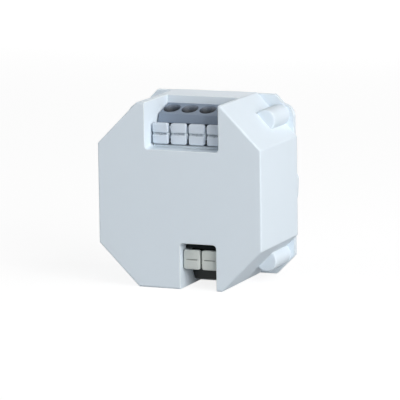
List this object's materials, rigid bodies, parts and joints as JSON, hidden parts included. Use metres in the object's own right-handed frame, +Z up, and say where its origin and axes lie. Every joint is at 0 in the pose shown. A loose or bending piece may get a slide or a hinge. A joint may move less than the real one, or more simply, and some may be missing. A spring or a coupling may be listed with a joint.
{
  "type": "switching module",
  "caption": "Octagonal flush-mounted switching module with push-in terminals in a notch and a slot, sprung release buttons, a relay inside and a screwed rear cover.",
  "frame": {"origin": "on the bottom plane, under the middle of the bounding box", "axes": "+Z up as the module stands in the picture, -Y out of the front face with the buttons, +X to the right seen from the front"},
  "size_m": [0.045, 0.0274, 0.048],
  "materials": {
    "shell_plastic": "fine satin moulding",
    "terminal_grey": "satin polyamide",
    "terminal_black": "satin polyamide",
    "button_white": "semi-gloss moulding",
    "button_grey": "semi-gloss moulding",
    "screw_steel": "zinc plated",
    "spring_steel": "rolled strip",
    "contact_copper": "tinned copper alloy",
    "board_laminate": "solder mask",
    "relay_plastic": "sealed moulding",
    "relay_iron": "soft iron",
    "copper_wire": "enamelled copper",
    "ferrite": "sintered ferrite",
    "bobbin_plastic": "phenolic moulding",
    "film_box": "potted box",
    "aluminium_can": "drawn can",
    "varistor_coat": "dipped coating",
    "ceramic_coat": "flameproof coating",
    "chip_moulding": "moulded package",
    "pin_brass": "plated brass",
    "shield_tin": "tinned sheet",
    "insulation": "pressed fibre"
  },
  "bodies": {
    "module": {"front_housing": "shell_plastic", "rear_cover": "shell_plastic", "cover_screws": "screw_steel", "terminal_housing_upper": "terminal_grey", "terminal_housing_lower": "terminal_black", "clamp_spring_upper_1": "spring_steel", "contact_upper_1": "contact_copper", "clamp_spring_upper_2": "spring_steel", "contact_upper_2": "contact_copper", "clamp_spring_upper_3": "spring_steel", "contact_upper_3": "contact_copper", "clamp_spring_upper_4": "spring_steel", "contact_upper_4": "contact_copper", "clamp_spring_lower_1": "spring_steel", "contact_lower_1": "contact_copper", "clamp_spring_lower_2": "spring_steel", "contact_lower_2": "contact_copper", "relay_cover": "relay_plastic", "relay_base": "relay_plastic", "relay_coil": "copper_wire", "relay_yoke": "relay_iron", "relay_contacts": "contact_copper", "transformer_core": "ferrite", "transformer_bobbin": "bobbin_plastic", "transformer_winding": "copper_wire", "film_capacitor": "film_box", "smoothing_capacitor": "aluminium_can", "storage_capacitor": "aluminium_can", "varistor": "varistor_coat", "fusible_resistor": "ceramic_coat", "choke_core": "ferrite", "choke_winding": "copper_wire", "bridge_rectifier": "chip_moulding", "optocoupler": "chip_moulding", "main_circuit_board": "board_laminate", "control_board": "board_laminate", "header_body": "bobbin_plastic", "header_pins": "pin_brass", "processor": "chip_moulding", "radio_shield": "shield_tin", "crystal": "shield_tin", "antenna": "shield_tin", "insulating_sheet": "insulation"},
    "upper_button_1": {"push_button_upper_1": "button_white"},
    "upper_button_2": {"push_button_upper_2": "button_white"},
    "upper_button_3": {"push_button_upper_3": "button_white"},
    "upper_button_4": {"push_button_upper_4": "button_white"},
    "lower_button_1": {"push_button_lower_1": "button_grey"},
    "lower_button_2": {"push_button_lower_2": "button_grey"},
    "armature": {"relay_armature": "relay_iron"}
  },
  "joints": [
    {"name": "upper_button_1_push", "type": "slide", "parent": "module", "child": "upper_button_1", "axis": [0, 1, 0], "range_m": [0, 0.0012], "stiffness_N_per_m": 1500, "deforming": ["clamp_spring_upper_1"]},
    {"name": "upper_button_2_push", "type": "slide", "parent": "module", "child": "upper_button_2", "axis": [0, 1, 0], "range_m": [0, 0.0012], "stiffness_N_per_m": 1500, "deforming": ["clamp_spring_upper_2"]},
    {"name": "upper_button_3_push", "type": "slide", "parent": "module", "child": "upper_button_3", "axis": [0, 1, 0], "range_m": [0, 0.0012], "stiffness_N_per_m": 1500, "deforming": ["clamp_spring_upper_3"]},
    {"name": "upper_button_4_push", "type": "slide", "parent": "module", "child": "upper_button_4", "axis": [0, 1, 0], "range_m": [0, 0.0012], "stiffness_N_per_m": 1500, "deforming": ["clamp_spring_upper_4"]},
    {"name": "lower_button_1_push", "type": "slide", "parent": "module", "child": "lower_button_1", "axis": [0, 1, 0], "range_m": [0, 0.0012], "stiffness_N_per_m": 1500, "deforming": ["clamp_spring_lower_1"]},
    {"name": "lower_button_2_push", "type": "slide", "parent": "module", "child": "lower_button_2", "axis": [0, 1, 0], "range_m": [0, 0.0012], "stiffness_N_per_m": 1500, "deforming": ["clamp_spring_lower_2"]},
    {"name": "armature_tilt", "type": "hinge", "parent": "module", "child": "armature", "pos_m": [0.0101, -0.00845, 0.0187], "axis": [0, 0, 1], "range_deg": [-4.5, 0], "stiffness_Nm_per_rad": 0.004}
  ]
}
